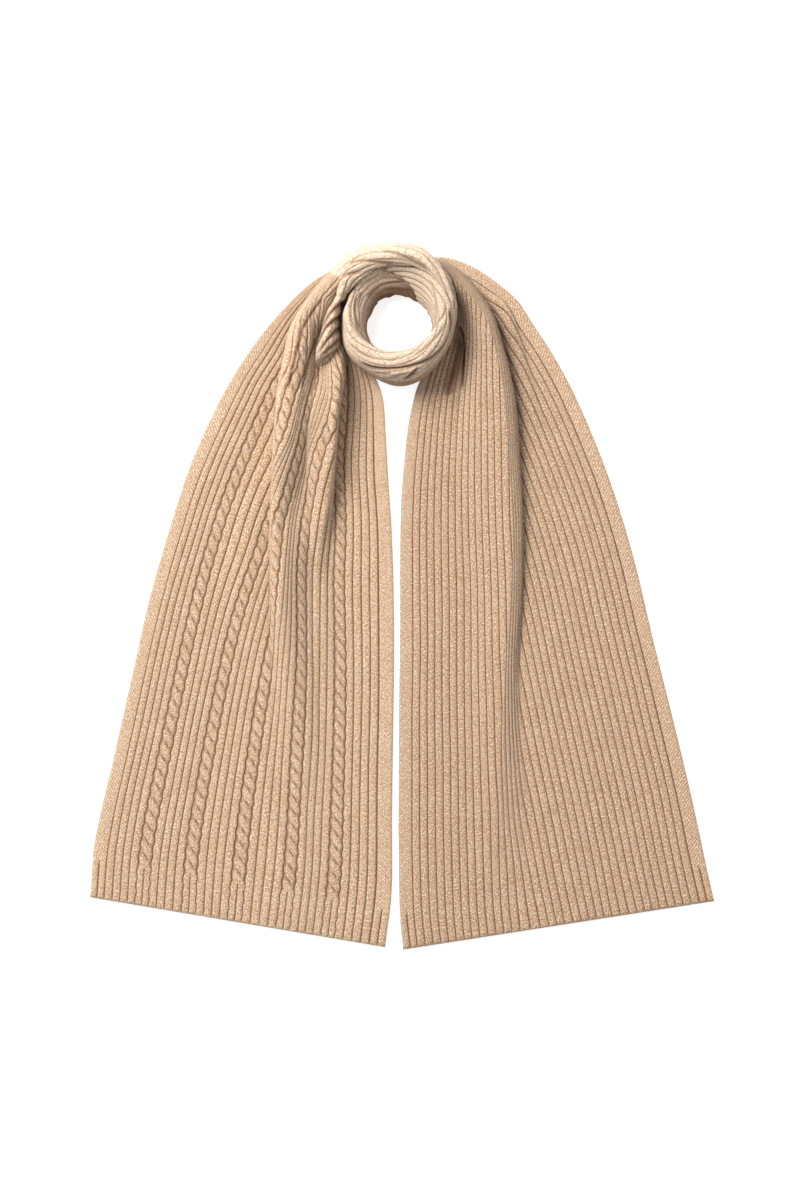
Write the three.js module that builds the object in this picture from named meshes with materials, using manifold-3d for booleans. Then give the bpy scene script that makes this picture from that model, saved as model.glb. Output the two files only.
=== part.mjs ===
// A knitted scarf, wound once into a ring and laid flat with its two tails side by side.
// Millimetres, +Z up. The scarf lies on Z = 0, with the middle of its outline at X = Y = 0 and
// the tails running towards -Y.
import * as THREE from 'three';
import Module from 'manifold-3d';

const wasm = await Module();
wasm.setup();

// Driving sizes of the knitted cloth
const WALL = 2.2;
const RIB_WIDTH = 8;
const CABLE_WIDTH = 13;
const SELVEDGE_WIDTH = 14.5;
const RIB_RELIEF = 1.5;
const SELVEDGE_RELIEF = 0.8;
const STRAND_SHARES = [0.3, 0.7];
const CABLE_HIGH = 2.6;
const CABLE_LOW = 1.1;
const CABLE_STEP = 6.25;
const HEM_BAND = 38;
const SEAM = 0.35;
const SLIVER = 0.04;

// The ring of the wound part
const RING_X = -2;
const RING_Y = 281;
const RING_STEP = 10;
const SECTION_SAMPLES = 240;
const UNDER_SLOPE = 0.3;
const UNDER_INSET = 0.08;
const UNDER_SHARES = [0, 0.35, 0.7, 1];
const LIP_WALL = 3;
const LIP_RISE = 4;
const FOOT_INSET = 5;
const FOOT_SHARE = 0.25;
const FLOOR_CLEARANCE = 1;

// Where a wound stretch's profile passes between its foot, its widest place, its crest and
// its lip: shares of the height, and shares of the way across
const HEEL_INSET = 0.8;
const HEEL_HEIGHT = 0.16;
const WIDEST_HEIGHT = 0.42;
const SHOULDER_HEIGHT = 0.86;
const SHOULDER_WIDTH = 0.62;
const SLOPE_HEIGHT = 0.62;
const SLOPE_WIDTH = 0.45;

// Sections of the tails
const FOLD_FADE = 40;
const FOLD_POWER = 1.3;
const NORMAL_REACH = 1.5;

// Left tail: a row for each section across the cloth, measured along the tail from its hem
const LEFT_SECTIONS = [
  { along: 0, outerX: -312, outerY: -301, innerX: -17, innerY: -351 },
  { along: 56, outerX: -307, outerY: -244, innerX: -10.5, innerY: -296 },
  { along: 136, outerX: -289, outerY: -164, innerX: -10, innerY: -218 },
  { along: 216, outerX: -271, outerY: -84, innerX: -9, innerY: -140 },
  { along: 296, outerX: -253, outerY: -4, innerX: -8, innerY: -62 },
  { along: 367, outerX: -233, outerY: 66, innerX: -8.5, innerY: 7 },
  { along: 429, outerX: -213.5, outerY: 126, innerX: -10.5, innerY: 67 },
  { along: 482, outerX: -192, outerY: 176, innerX: -14, innerY: 119 },
  { along: 528, outerX: -170, outerY: 218, innerX: -16.5, innerY: 164 },
  { along: 566, outerX: -148.5, outerY: 251, innerX: -20, innerY: 201 },
  { along: 600, outerX: -127, outerY: 278, innerX: -34, innerY: 233 },
  { along: 628, outerX: -107, outerY: 299, innerX: -51, innerY: 261 },
  { along: 650, outerX: -90, outerY: 314, innerX: -53, innerY: 283 },
  { along: 668, outerX: -74, outerY: 324, innerX: -49, innerY: 300 },
  { along: 690, outerX: -56, outerY: 335, innerX: -42, innerY: 311 },
];

// Its two ridges and the gathered cloth between them, a row for each place along the tail: the
// middle across the section, half the width, the height, and how far the crest leans (minus is
// towards the outer edge)
const LEFT_FOLD_OUTER = [
  { along: 136, middle: 190, half: 26, height: 0.5, lean: 0 },
  { along: 216, middle: 169, half: 24, height: 6, lean: -2 },
  { along: 296, middle: 146, half: 21, height: 15, lean: -8 },
  { along: 367, middle: 125, half: 19, height: 22, lean: -13 },
  { along: 429, middle: 105, half: 17, height: 27, lean: -13 },
  { along: 482, middle: 85, half: 16, height: 31, lean: -12 },
  { along: 528, middle: 65, half: 15, height: 33, lean: -11 },
  { along: 566, middle: 49, half: 15, height: 35, lean: -9 },
  { along: 600, middle: 36, half: 17, height: 38, lean: -8 },
  { along: 628, middle: 30, half: 18, height: 42, lean: -7 },
  { along: 650, middle: 25, half: 18, height: 47, lean: -5 },
  { along: 668, middle: 19, half: 16, height: 51, lean: -4 },
  { along: 690, middle: 15, half: 14, height: 52, lean: -2 },
];
const LEFT_FOLD_MIDDLE = [
  { along: 429, middle: 116, half: 14, height: 2, lean: 0 },
  { along: 482, middle: 98, half: 14, height: 16, lean: 0 },
  { along: 528, middle: 80, half: 14, height: 22, lean: 0 },
  { along: 566, middle: 62, half: 13, height: 20, lean: 0 },
  { along: 600, middle: 50, half: 14, height: 17, lean: 0 },
  { along: 628, middle: 43, half: 12, height: 12, lean: 0 },
  { along: 650, middle: 37, half: 10, height: 6, lean: 0 },
];
const LEFT_FOLD_INNER = [
  { along: 216, middle: 176, half: 30, height: 0.5, lean: 0 },
  { along: 296, middle: 168, half: 28, height: 3, lean: 0 },
  { along: 367, middle: 145, half: 22, height: 9, lean: 2 },
  { along: 429, middle: 132, half: 17, height: 19, lean: 7 },
  { along: 482, middle: 115, half: 15, height: 30, lean: 11 },
  { along: 528, middle: 97, half: 14, height: 34, lean: 11 },
  { along: 566, middle: 82, half: 14, height: 34, lean: 9 },
  { along: 600, middle: 66, half: 13, height: 20, lean: 4 },
  { along: 628, middle: 50, half: 12, height: 12, lean: 0 },
];

// Right tail, from its hem, which shows the plain ribbed back of the cloth
const RIGHT_SECTIONS = [
  { along: 0, outerX: 312, outerY: -305, innerX: 1, innerY: -353.5 },
  { along: 32, outerX: 305, outerY: -274, innerX: -2, innerY: -322 },
  { along: 100, outerX: 290, outerY: -204, innerX: -3.5, innerY: -257 },
  { along: 179, outerX: 271, outerY: -124, innerX: -3.5, innerY: -182 },
  { along: 258, outerX: 251, outerY: -44, innerX: -3, innerY: -106 },
  { along: 336, outerX: 232, outerY: 36, innerX: -2, innerY: -31 },
  { along: 406, outerX: 211, outerY: 106, innerX: -2, innerY: 35 },
  { along: 468, outerX: 188, outerY: 166, innerX: -1, innerY: 94 },
  { along: 515, outerX: 167.5, outerY: 211, innerX: 2.5, innerY: 139 },
  { along: 553, outerX: 148, outerY: 246, innerX: 7, innerY: 176 },
  { along: 585, outerX: 129.5, outerY: 274, innerX: 14, innerY: 205 },
  { along: 610, outerX: 115, outerY: 296, innerX: 22.5, innerY: 225 },
  { along: 636, outerX: 94, outerY: 314, innerX: 34, innerY: 248 },
  { along: 661, outerX: 73, outerY: 328, innerX: 43, innerY: 271 },
  { along: 686, outerX: 48, outerY: 338, innerX: 47, innerY: 294 },
  { along: 704, outerX: 27, outerY: 339, innerX: 38, innerY: 300 },
];
const RIGHT_FOLD = [
  { along: 100, middle: 196, half: 28, height: 0.5, lean: 0 },
  { along: 179, middle: 180, half: 28, height: 4, lean: -3 },
  { along: 258, middle: 163, half: 26, height: 8, lean: -10 },
  { along: 336, middle: 145, half: 28, height: 12, lean: -17 },
  { along: 406, middle: 127, half: 31, height: 15, lean: -21 },
  { along: 468, middle: 110, half: 34, height: 18, lean: -23 },
  { along: 515, middle: 91, half: 32, height: 23, lean: -22 },
  { along: 553, middle: 74, half: 27, height: 28, lean: -19 },
  { along: 585, middle: 59, half: 22, height: 32, lean: -15 },
  { along: 610, middle: 50, half: 20, height: 35, lean: -12 },
  { along: 636, middle: 39, half: 18, height: 36, lean: -9 },
  { along: 661, middle: 31, half: 17, height: 35, lean: -6 },
  { along: 686, middle: 23, half: 16, height: 28, lean: -3 },
  { along: 704, middle: 21, half: 16, height: 21, lean: -2 },
];
const RIGHT_FOLD_SMALL = [
  { along: 468, middle: 60, half: 16, height: 0.5, lean: 0 },
  { along: 515, middle: 46, half: 13, height: 4, lean: -1 },
  { along: 553, middle: 36, half: 11, height: 7, lean: -2 },
  { along: 585, middle: 26, half: 10, height: 8, lean: -2 },
  { along: 610, middle: 20, half: 9, height: 7, lean: -2 },
  { along: 636, middle: 14, half: 8, height: 4, lean: 0 },
];

// The wound stretches, a row for each angle round the ring, counted from +X towards +Y. outer,
// crest and inner are radii. top and foot are heights of the crest and of the underside, and
// lip is the height of the inner edge.
const FRONT_ROWS = [
  { angle: 152, outer: 54, crest: 49, inner: 24, top: 44, foot: 8, lip: 12 },
  { angle: 165, outer: 55, crest: 50.5, inner: 26, top: 46, foot: 8, lip: 12 },
  { angle: 180, outer: 58, crest: 51, inner: 28, top: 48, foot: 8, lip: 12 },
  { angle: 195, outer: 60, crest: 51, inner: 33, top: 50, foot: 8, lip: 12 },
  { angle: 210, outer: 64, crest: 50, inner: 37, top: 52, foot: 8, lip: 12 },
  { angle: 225, outer: 66, crest: 46.5, inner: 39, top: 53, foot: 7, lip: 12 },
  { angle: 240, outer: 66.5, crest: 45, inner: 38, top: 54, foot: 5, lip: 12 },
  { angle: 255, outer: 69, crest: 43, inner: 36, top: 55, foot: 0, lip: 10 },
  { angle: 270, outer: 71, crest: 41, inner: 35, top: 56, foot: 0, lip: 10 },
  { angle: 285, outer: 69, crest: 40, inner: 34, top: 57, foot: 0, lip: 10 },
  { angle: 300, outer: 64, crest: 39.5, inner: 34, top: 58, foot: 6, lip: 12 },
  { angle: 315, outer: 60, crest: 39, inner: 34, top: 60, foot: 8, lip: 12 },
  { angle: 330, outer: 58, crest: 39, inner: 33.5, top: 61, foot: 8, lip: 12 },
  { angle: 345, outer: 56.5, crest: 40, inner: 32, top: 62, foot: 9, lip: 14 },
  { angle: 360, outer: 57, crest: 41, inner: 28, top: 62, foot: 12, lip: 20 },
  { angle: 375, outer: 57, crest: 41.5, inner: 24, top: 61, foot: 18, lip: 26 },
  { angle: 390, outer: 54, crest: 42, inner: 21, top: 58, foot: 26, lip: 30 },
  { angle: 405, outer: 54, crest: 43, inner: 22, top: 55, foot: 31, lip: 34 },
  { angle: 420, outer: 54, crest: 44, inner: 26, top: 52, foot: 34, lip: 37 },
  { angle: 440, outer: 54, crest: 46, inner: 32, top: 50, foot: 36, lip: 39 },
  { angle: 457, outer: 54, crest: 48, inner: 39, top: 49, foot: 37, lip: 41 },
  { angle: 468, outer: 54, crest: 50, inner: 44, top: 47, foot: 38, lip: 42 },
];
const OVER_ROWS = [
  { angle: 6, outer: 57.5, crest: 53, inner: 48, top: 52, foot: 32, lip: 44 },
  { angle: 20, outer: 58.5, crest: 53, inner: 47, top: 60, foot: 31, lip: 50 },
  { angle: 30, outer: 60, crest: 54, inner: 46, top: 64, foot: 30, lip: 53 },
  { angle: 45, outer: 62, crest: 55, inner: 47, top: 66, foot: 28, lip: 55 },
  { angle: 60, outer: 66, crest: 57, inner: 47, top: 67, foot: 18, lip: 54 },
  { angle: 75, outer: 70.5, crest: 59, inner: 47, top: 67, foot: 3, lip: 53 },
  { angle: 90, outer: 71, crest: 59, inner: 47, top: 66, foot: 0, lip: 52 },
  { angle: 105, outer: 73, crest: 60, inner: 48, top: 64, foot: 0, lip: 51 },
  { angle: 120, outer: 77, crest: 63, inner: 49, top: 62, foot: 0, lip: 50 },
  { angle: 135, outer: 80, crest: 65, inner: 50, top: 60, foot: 0, lip: 49 },
  { angle: 147, outer: 81, crest: 66, inner: 52, top: 57, foot: 0, lip: 47 },
  { angle: 157, outer: 73, crest: 63, inner: 54, top: 55, foot: 6, lip: 44 },
  { angle: 167, outer: 68, crest: 62, inner: 56, top: 53, foot: 8, lip: 36 },
  { angle: 178, outer: 75, crest: 66, inner: 58.5, top: 51, foot: 8, lip: 28 },
  { angle: 189, outer: 83, crest: 71, inner: 60.5, top: 49, foot: 8, lip: 24 },
  { angle: 200, outer: 90, crest: 76, inner: 62.5, top: 46, foot: 8, lip: 22 },
  { angle: 208, outer: 97, crest: 81, inner: 65, top: 43, foot: 8, lip: 20 },
  { angle: 214, outer: 98, crest: 83, inner: 69, top: 38, foot: 8, lip: 18 },
];
const UNDER_ROWS = [
  { angle: 28, outer: 57, crest: 44, inner: 22, top: 24, foot: 0, lip: 8 },
  { angle: 45, outer: 60, crest: 46, inner: 18, top: 26, foot: 0, lip: 8 },
  { angle: 60, outer: 58, crest: 47, inner: 17, top: 31, foot: 0, lip: 8 },
  { angle: 75, outer: 57, crest: 48, inner: 16, top: 36, foot: 0, lip: 8 },
  { angle: 90, outer: 57, crest: 48, inner: 17, top: 40, foot: 0, lip: 8 },
  { angle: 105, outer: 57, crest: 48, inner: 18, top: 42, foot: 0, lip: 8 },
  { angle: 120, outer: 57, crest: 49, inner: 19, top: 43, foot: 0, lip: 8 },
  { angle: 135, outer: 57, crest: 49, inner: 22, top: 43, foot: 0, lip: 9 },
  { angle: 151.5, outer: 54, crest: 49, inner: 24, top: 44, foot: 0, lip: 12 },
];

// A smooth run of one column of a table, flat beyond its ends
function column(rows, key, name) {
  const keys = rows.map((row) => row[key]);
  const values = rows.map((row) => row[name]);
  const last = rows.length - 1;
  const slope = (i) => {
    const low = Math.max(i - 1, 0);
    const high = Math.min(i + 1, last);
    return (values[high] - values[low]) / (keys[high] - keys[low]);
  };
  return (at) => {
    if (at <= keys[0]) return values[0];
    if (at >= keys[last]) return values[last];
    const i = keys.findIndex((next) => next > at) - 1;
    const step = keys[i + 1] - keys[i];
    const t = (at - keys[i]) / step;
    const rise = THREE.MathUtils.smoothstep(t, 0, 1);
    const bend = step * t * (1 - t) * (slope(i) * (1 - t) - slope(i + 1) * t);
    return THREE.MathUtils.lerp(values[i], values[i + 1], rise) + bend;
  };
}

// Every column of a table as a function of its key
function smoothTable(rows, key) {
  const names = Object.keys(rows[0]).filter((name) => name !== key);
  return Object.fromEntries(names.map((name) => [name, column(rows, key, name)]));
}

// The knitted bands across the cloth, each with its kind and width
function bands(...groups) {
  return groups.flatMap(([kind, width, count]) => Array(count).fill({ kind, width }));
}

function frontBands() {
  const selvedge = ['selvedge', SELVEDGE_WIDTH, 1];
  const ribs = ['rib', RIB_WIDTH, 4];
  const cable = ['cable', CABLE_WIDTH, 1];
  return bands(selvedge, ribs, cable, ribs, cable, ribs, cable, ribs, cable, ribs, cable, ribs, selvedge);
}

function backBands() {
  const selvedge = ['selvedge', SELVEDGE_WIDTH, 1];
  return bands(selvedge, ['rib', RIB_WIDTH, 35], selvedge);
}

// The lines that run along the cloth on its outer face: a line in each groove, one on each
// rib's crest, and two on each cable, whose heights swap from step to step as the strands cross
function outerLines(layout) {
  const total = layout.reduce((sum, band) => sum + band.width, 0);
  const lines = [{ across: 0, relief: () => 0 }];
  let start = 0;
  for (const band of layout) {
    const place = (share) => (start + share * band.width) / total;
    if (band.kind === 'cable') {
      STRAND_SHARES.forEach((share, strand) => lines.push({ across: place(share), strand }));
    } else {
      const relief = band.kind === 'rib' ? RIB_RELIEF : SELVEDGE_RELIEF;
      lines.push({ across: place(0.5), relief: () => relief });
    }
    start += band.width;
    lines.push({ across: start / total, relief: () => 0, groove: true });
  }
  return lines;
}

// Stations for a cable's lines: evenly spaced crossings, plain ribs inside the hem band
function cableStations(stations, step, hem) {
  const first = stations[0];
  const last = stations[stations.length - 1];
  const count = Math.round((last - first - hem) / step);
  const crossings = [];
  for (let i = 0; i < count; i++) {
    crossings.push(last - i * ((last - first - hem) / count));
  }
  return [first, ...(hem > 0 ? [first + hem] : []), ...crossings.reverse()];
}

// Joins two lines of numbered points into a strip of triangles, stepping along whichever lags
function zip(faces, a, b) {
  let i = 0;
  let j = 0;
  while (i < a.length - 1 || j < b.length - 1) {
    const stepA = j === b.length - 1 || (i < a.length - 1 && a[i + 1].at <= b[j + 1].at);
    if (stepA) {
      faces.push(a[i].id, b[j].id, a[i + 1].id);
      i += 1;
    } else {
      faces.push(a[i].id, b[j].id, b[j + 1].id);
      j += 1;
    }
  }
}

// A closed solid between an outer face and an inner face. Each face is a list of lines, and
// each line is a list of { at, across, point }.
function closedSolid(outer, inner) {
  const points = [];
  const number = (line) => line.map((entry) => {
    points.push(entry.point);
    return { id: points.length - 1, at: entry.at, across: entry.across };
  });
  const top = outer.map(number);
  const base = inner.map(number);
  const faces = [];
  for (let i = 0; i + 1 < top.length; i++) zip(faces, top[i], top[i + 1]);
  for (let i = 0; i + 1 < base.length; i++) zip(faces, base[i + 1], base[i]);
  zip(faces, base[0], top[0]);
  zip(faces, top[top.length - 1], base[base.length - 1]);
  const end = (lines, pick) => lines.map(pick).map((entry) => ({ id: entry.id, at: entry.across }));
  const first = (line) => line[0];
  const last = (line) => line[line.length - 1];
  zip(faces, end(top, first), end(base, first));
  zip(faces, end(base, last), end(top, last));
  return solidFrom(points, faces);
}

// A manifold solid with its faces pointing out
function solidFrom(points, faces) {
  let volume = 0;
  for (let i = 0; i < faces.length; i += 3) {
    const [a, b, c] = [points[faces[i]], points[faces[i + 1]], points[faces[i + 2]]];
    volume += a.dot(b.clone().cross(c));
  }
  const triVerts = Uint32Array.from(volume > 0 ? faces : faces.slice().reverse());
  const vertProperties = Float32Array.from(points.flatMap((point) => point.toArray()));
  return new wasm.Manifold(new wasm.Mesh({ numProp: 3, vertProperties, triVerts }));
}

// A curve across the cloth, sampled and measured, that gives a place and its outward normal
function measuredCurve(samples) {
  const lengths = [0];
  for (let i = 1; i < samples.length; i++) {
    lengths.push(lengths[i - 1] + samples[i].distanceTo(samples[i - 1]));
  }
  const total = lengths[lengths.length - 1];
  const pointAt = (share) => {
    const goal = THREE.MathUtils.clamp(share, 0, 1) * total;
    let i = lengths.findIndex((length) => length >= goal);
    i = Math.max(i, 1);
    const t = (goal - lengths[i - 1]) / (lengths[i] - lengths[i - 1]);
    return samples[i - 1].clone().lerp(samples[i], t);
  };
  const normalAt = (share) => {
    const reach = NORMAL_REACH / total;
    const before = pointAt(share - reach);
    const after = pointAt(share + reach);
    const tangent = after.sub(before).normalize();
    return new THREE.Vector2(-tangent.y, tangent.x);
  };
  return { pointAt, normalAt, total };
}

// A tail's section: flat cloth from the outer to the inner edge, raised by its folds
function tailSection(tail, along) {
  const outer = new THREE.Vector2(tail.sections.outerX(along), tail.sections.outerY(along));
  const inner = new THREE.Vector2(tail.sections.innerX(along), tail.sections.innerY(along));
  const across = inner.clone().sub(outer);
  const width = across.length();
  across.normalize();
  const samples = [];
  for (let i = 0; i <= SECTION_SAMPLES; i++) {
    const flat = (width * i) / SECTION_SAMPLES;
    const sample = new THREE.Vector2(flat, 0);
    for (const fold of tail.folds) {
      const offset = (flat - fold.middle(along)) / fold.half(along);
      const swell = Math.abs(offset) < 1 ? Math.cos((Math.PI / 2) * offset) ** FOLD_POWER : 0;
      sample.x += fold.lean(along) * swell;
      sample.y += foldHeight(fold, along) * swell;
    }
    samples.push(sample);
  }
  const curve = measuredCurve(samples);
  return (share, offset) => {
    const place = curve.pointAt(share).addScaledVector(curve.normalAt(share), offset);
    return new THREE.Vector3(
      outer.x + across.x * place.x,
      outer.y + across.y * place.x,
      Math.max(place.y + WALL / 2, 0),
    );
  };
}

// A fold fades out before its first row
function foldHeight(fold, along) {
  const fade = THREE.MathUtils.smoothstep(along, fold.start - FOLD_FADE, fold.start);
  return fold.height(along) * fade;
}

function foldTable(rows) {
  return { ...smoothTable(rows, 'along'), start: rows[0].along };
}

function buildTail(tail) {
  const stations = tail.rows.map((row) => row.along);
  const fine = cableStations(stations, CABLE_STEP, HEM_BAND);
  const sections = new Map();
  const section = (along) => {
    if (!sections.has(along)) sections.set(along, tailSection(tail, along));
    return sections.get(along);
  };
  const lines = outerLines(tail.layout);
  const outer = lines.map((line) => lineOn(line, stations, fine, (along, relief) => (
    section(along)(line.across, WALL / 2 + relief))));
  const inner = lines.filter((line) => line.groove || line.across === 0).map((line) => (
    stations.map((along) => ({ at: along, across: line.across, point: section(along)(line.across, -WALL / 2) }))));
  return closedSolid(outer, inner);
}

// The points of one line along the cloth. A cable's points lie between those of the stations,
// by turns high and low.
function lineOn(line, stations, fine, place) {
  if (line.strand === undefined) {
    return stations.map((at) => ({ at, across: line.across, point: place(at, line.relief()) }));
  }
  const between = (at, relief) => {
    const next = Math.max(stations.findIndex((station) => station >= at), 1);
    const share = (at - stations[next - 1]) / (stations[next] - stations[next - 1]);
    return place(stations[next - 1], relief).lerp(place(stations[next], relief), share);
  };
  return fine.map((at, i) => {
    const high = (i + line.strand) % 2 === 0;
    return { at, across: line.across, point: between(at, high ? CABLE_HIGH : CABLE_LOW) };
  });
}

// The rounded profile of a wound stretch at one angle, from its outer foot over the crest to
// its inner edge
function wrapProfile(row) {
  const rise = row.top - row.foot;
  const outer = row.outer - RIB_RELIEF;
  const top = row.top - RIB_RELIEF;
  const inner = row.inner + RIB_RELIEF;
  const shoulder = row.crest + SHOULDER_WIDTH * (outer - row.crest);
  const slope = inner + SLOPE_WIDTH * (row.crest - inner);
  const inset = Math.min(FOOT_INSET, FOOT_SHARE * (outer - inner));
  return new THREE.SplineCurve([
    new THREE.Vector2(outer - inset, row.foot),
    new THREE.Vector2(outer - HEEL_INSET, row.foot + HEEL_HEIGHT * rise),
    new THREE.Vector2(outer, row.foot + WIDEST_HEIGHT * rise),
    new THREE.Vector2(shoulder, row.foot + SHOULDER_HEIGHT * rise),
    new THREE.Vector2(row.crest, top),
    new THREE.Vector2(slope, row.lip + SLOPE_HEIGHT * (top - row.lip)),
    new THREE.Vector2(inner, Math.max(row.lip, row.foot + LIP_RISE)),
  ]);
}

// A wound stretch, or the slightly larger form that clears room for it in what it lies on
function buildWrap(rows, layout, grow = 0) {
  const table = smoothTable(rows, 'angle');
  const first = rows[0].angle;
  const last = rows[rows.length - 1].angle;
  const count = Math.ceil((last - first) / RING_STEP);
  const stations = Array.from({ length: count + 1 }, (_, i) => first + ((last - first) * i) / count);
  const fine = cableStations(stations, (last - first) / (2 * count), 0);
  const sections = new Map();
  const section = (angle) => {
    const ends = { [first]: first - grow, [last]: last + grow };
    if (!sections.has(angle)) sections.set(angle, wrapSection(table, ends[angle] ?? angle, grow));
    return sections.get(angle);
  };
  const outer = outerLines(layout).map((line) => lineOn(line, stations, fine, (angle, relief) => (
    section(angle).outside(line.across, relief))));
  const inner = UNDER_SHARES.map((across) => (
    stations.map((angle) => ({ at: angle, across, point: section(angle).underside(across) }))));
  return closedSolid(outer, inner);
}

function wrapSection(table, angle, grow) {
  const row = Object.fromEntries(Object.entries(table).map(([name, at]) => [name, at(angle)]));
  const curve = measuredCurve(wrapProfile(row).getPoints(SECTION_SAMPLES));
  const turn = THREE.MathUtils.degToRad(angle);
  const floor = grow > 0 ? -FLOOR_CLEARANCE : 0;
  const place = (radius, height) => new THREE.Vector3(
    RING_X + radius * Math.cos(turn),
    RING_Y + radius * Math.sin(turn),
    Math.max(height, floor),
  );
  const outside = (share, relief) => {
    const at = curve.pointAt(share).addScaledVector(curve.normalAt(share), -relief - grow);
    return place(at.x, at.y);
  };
  const underside = (share) => {
    const start = curve.pointAt(0);
    const end = curve.pointAt(1);
    const radius = THREE.MathUtils.lerp(start.x, end.x, UNDER_INSET + (1 - 2 * UNDER_INSET) * share);
    const innerHeight = Math.max(row.foot, end.y - LIP_WALL - UNDER_SLOPE * (end.y - row.foot));
    const height = share > 0.5 ? innerHeight : row.foot;
    return place(radius, height - (grow > 0 ? grow + FLOOR_CLEARANCE : 0));
  };
  return { outside, underside };
}

function largestPiece(solid) {
  const pieces = solid.decompose();
  return pieces.reduce((best, piece) => (piece.volume() > best.volume() ? piece : best));
}

const FRONT_LAYOUT = bands(['rib', RIB_WIDTH, 5], ['cable', CABLE_WIDTH, 1], ['rib', RIB_WIDTH, 8]);
const OVER_LAYOUT = bands(['rib', RIB_WIDTH, 2], ['cable', CABLE_WIDTH, 1], ['rib', RIB_WIDTH, 3],
  ['cable', CABLE_WIDTH, 1], ['rib', RIB_WIDTH, 2]);
const UNDER_LAYOUT = bands(['rib', RIB_WIDTH, 9]);

const leftTail = {
  rows: LEFT_SECTIONS,
  sections: smoothTable(LEFT_SECTIONS, 'along'),
  folds: [foldTable(LEFT_FOLD_OUTER), foldTable(LEFT_FOLD_MIDDLE), foldTable(LEFT_FOLD_INNER)],
  layout: frontBands(),
};
const rightTail = {
  rows: RIGHT_SECTIONS,
  sections: smoothTable(RIGHT_SECTIONS, 'along'),
  folds: [foldTable(RIGHT_FOLD), foldTable(RIGHT_FOLD_SMALL)],
  layout: backBands(),
};

// Each stretch makes room for those that lie over it
const overCutter = buildWrap(OVER_ROWS, OVER_LAYOUT, SEAM);
const frontCutter = buildWrap(FRONT_ROWS, FRONT_LAYOUT, SEAM);
const underCutter = buildWrap(UNDER_ROWS, UNDER_LAYOUT, SEAM);
const wrapOver = buildWrap(OVER_ROWS, OVER_LAYOUT);
const wrapFront = buildWrap(FRONT_ROWS, FRONT_LAYOUT).subtract(overCutter);
const wrapUnder = buildWrap(UNDER_ROWS, UNDER_LAYOUT).subtract(overCutter).subtract(frontCutter);
const cutters = [overCutter, frontCutter, underCutter];
const tailLeft = cutters.reduce((solid, cutter) => solid.subtract(cutter), buildTail(leftTail));
const tailRight = cutters.reduce((solid, cutter) => solid.subtract(cutter), buildTail(rightTail));

// The heathered oatmeal yarn
const YARN = new THREE.MeshStandardMaterial({ color: 0xc9a889, roughness: 0.95, metalness: 0 });

function addStretch(group, name, solid) {
  const source = largestPiece(solid.simplify(SLIVER)).getMesh();
  const geometry = new THREE.BufferGeometry();
  geometry.setAttribute('position', new THREE.BufferAttribute(Float32Array.from(source.vertProperties), 3));
  geometry.setIndex(Array.from(source.triVerts));
  geometry.computeVertexNormals();
  const mesh = new THREE.Mesh(geometry, YARN);
  mesh.name = name;
  group.add(mesh);
}

const scarf = new THREE.Group();
addStretch(scarf, 'tail_left', tailLeft);
addStretch(scarf, 'wrap_over', wrapOver);
addStretch(scarf, 'wrap_front', wrapFront);
addStretch(scarf, 'wrap_under', wrapUnder);
addStretch(scarf, 'tail_right', tailRight);

export default scarf;
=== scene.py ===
"""The looks of a knitted scarf that is wound once into a ring and laid flat, with its two tails
side by side. Tables and lengths of cloth are in millimetres, and meshes are in metres."""
import math

import bpy
import numpy as np
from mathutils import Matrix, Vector


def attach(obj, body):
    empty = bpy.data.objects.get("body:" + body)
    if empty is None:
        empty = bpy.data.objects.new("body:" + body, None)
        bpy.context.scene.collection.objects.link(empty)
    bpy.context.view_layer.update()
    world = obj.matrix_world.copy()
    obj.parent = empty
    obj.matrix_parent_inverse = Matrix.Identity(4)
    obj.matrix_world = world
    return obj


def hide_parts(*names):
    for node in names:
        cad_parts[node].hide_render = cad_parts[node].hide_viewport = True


MM = 0.001

# The knitted cloth
WALL = 2.2
RIB_WIDTH = 8.0
CABLE_WIDTH = 13.0
SELVEDGE_WIDTH = 14.5
RIB_RELIEF = 1.8
SELVEDGE_RELIEF = 1.0
SELVEDGE_SHARPNESS = 8.0
EDGE_PALE = 6.0
CABLE_TURN = 28.0
CABLE_HOLD = 11.0
CABLE_SWING = 1.6
CABLE_STRAND = 4.9
CABLE_HEIGHT = 2.0
CABLE_LIFT = 1.0
CABLE_CORE = 1.12
CABLE_CORE_SHARPNESS = 6.0
STRAND_EDGE = 0.4
STRAND_GROOVE = 0.45
# Painted shade on the line where a cable's two strands meet
STRAND_SHADE = 0.38
HEM_BAND = 38.0
HEM_BLEND = 5.0
HEM_ROUND = 2.5

# Columns of points across one band, closer together beside the grooves
RIB_COLUMNS = (0.0, 0.07, 0.19, 0.5, 0.81, 0.93)
CABLE_COLUMNS = tuple(np.linspace(0.0, 1.0, 15)[:-1])
SELVEDGE_COLUMNS = tuple(np.linspace(0.0, 1.0, 11)[:-1])
CREST_COLUMNS = tuple(np.linspace(0.0, 1.0, 12)[:-1])

# Spacing of the rows of points along the cloth
TAIL_LEFT_STEP = 1.75
TAIL_RIGHT_STEP = 2.6
WRAP_STEP = 0.8
WRAP_INSIDE = 3.0
LINING_STEP = 8
SECTION_SAMPLES = 700
NORMAL_REACH = 1.5

# The ring of the wound part
RING_X = -2.0
RING_Y = 281.0
RING_MEAN_RADIUS = 50.0

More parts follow.
